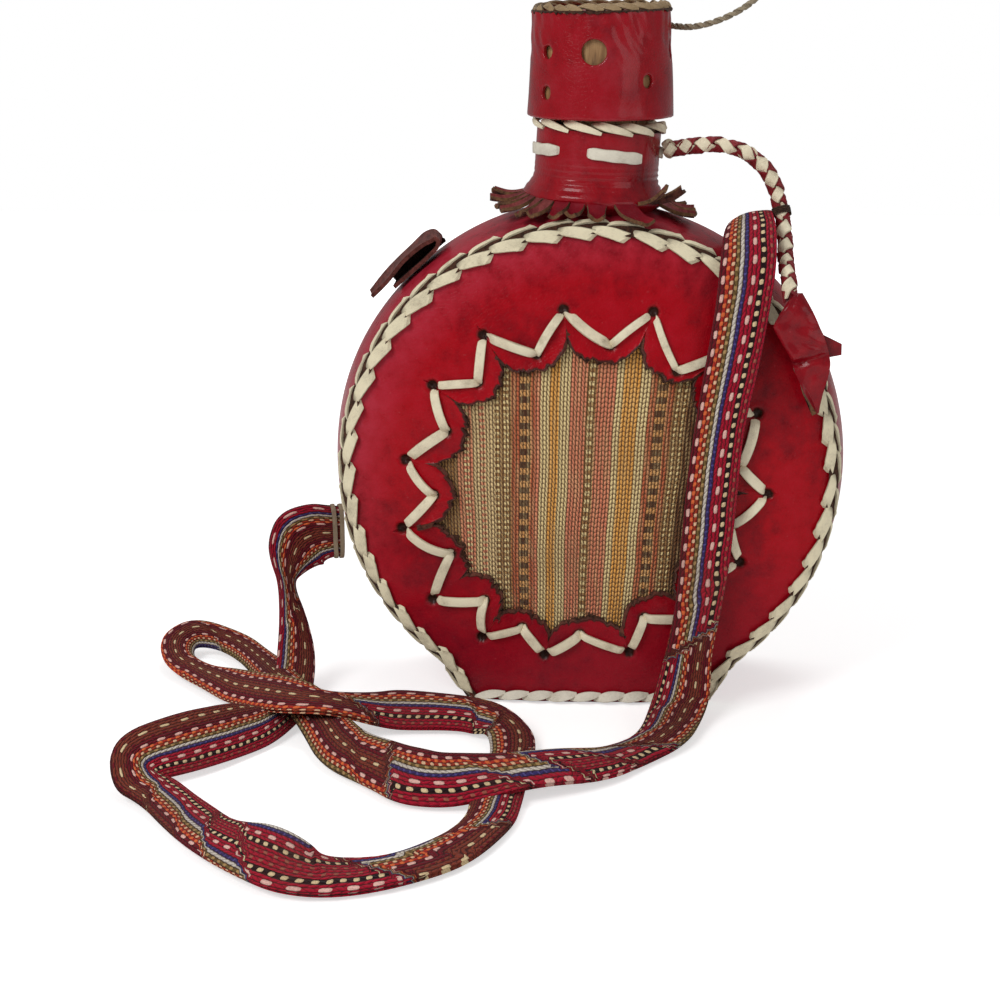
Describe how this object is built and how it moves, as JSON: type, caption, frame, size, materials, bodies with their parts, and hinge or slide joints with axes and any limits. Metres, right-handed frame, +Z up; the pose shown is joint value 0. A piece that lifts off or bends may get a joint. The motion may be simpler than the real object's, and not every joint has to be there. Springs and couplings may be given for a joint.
{
  "type": "gourd water bottle",
  "caption": "Round flat water bottle: a gourd covered in laced red leather with a woven cloth window, a capped stopper and a long woven shoulder strap.",
  "frame": {"origin": "middle of the flat base, on the ground", "axes": "+Z up, +X to the right seen from the front, the window faces -Y"},
  "size_m": [0.2367, 0.233, 0.2419],
  "materials": {
    "red_leather": "glossy crimson leather",
    "rawhide_lace": "pale cream rawhide lace",
    "suede_leather": "brown flesh side of leather",
    "leather_braid": "round braid of red and cream leather",
    "gourd_shell": "dried gourd",
    "cork": "cork",
    "wood_block": "plain tan wood",
    "woven_cloth": "striped wool weave",
    "woven_strap": "patterned woven band",
    "thin_cord": "thin twisted cord",
    "dark_thread": "dark thread"
  },
  "bodies": {
    "vessel": {"gourd_flask": "gourd_shell", "front_panel": "red_leather", "back_panel": "red_leather", "side_band": "red_leather", "base_panel": "red_leather", "textile_inlay": "woven_cloth", "window_lacing": "rawhide_lace", "front_edge_lacing": "rawhide_lace", "back_edge_lacing": "rawhide_lace", "base_front_lacing": "rawhide_lace", "base_back_lacing": "rawhide_lace", "neck_sleeve": "red_leather", "neck_rim_lacing": "rawhide_lace", "neck_running_lace": "rawhide_lace", "left_keeper": "red_leather", "right_keeper": "red_leather", "neck_braid": "leather_braid", "braid_knot": "rawhide_lace", "braid_tie": "dark_thread", "tether_knot": "thin_cord", "shoulder_strap": "woven_strap", "strap_lace_left": "rawhide_lace"},
    "stopper": {"cork_plug": "cork", "cap_core": "wood_block", "cap_wall": "red_leather", "cap_top_disc": "suede_leather", "cap_top_lacing": "suede_leather", "cap_tether": "thin_cord"}
  },
  "joints": [
    {"name": "stopper_pull", "type": "slide", "parent": "vessel", "child": "stopper", "axis": [0.061, 0, 0.9981], "range_m": [0, 0.03]}
  ]
}
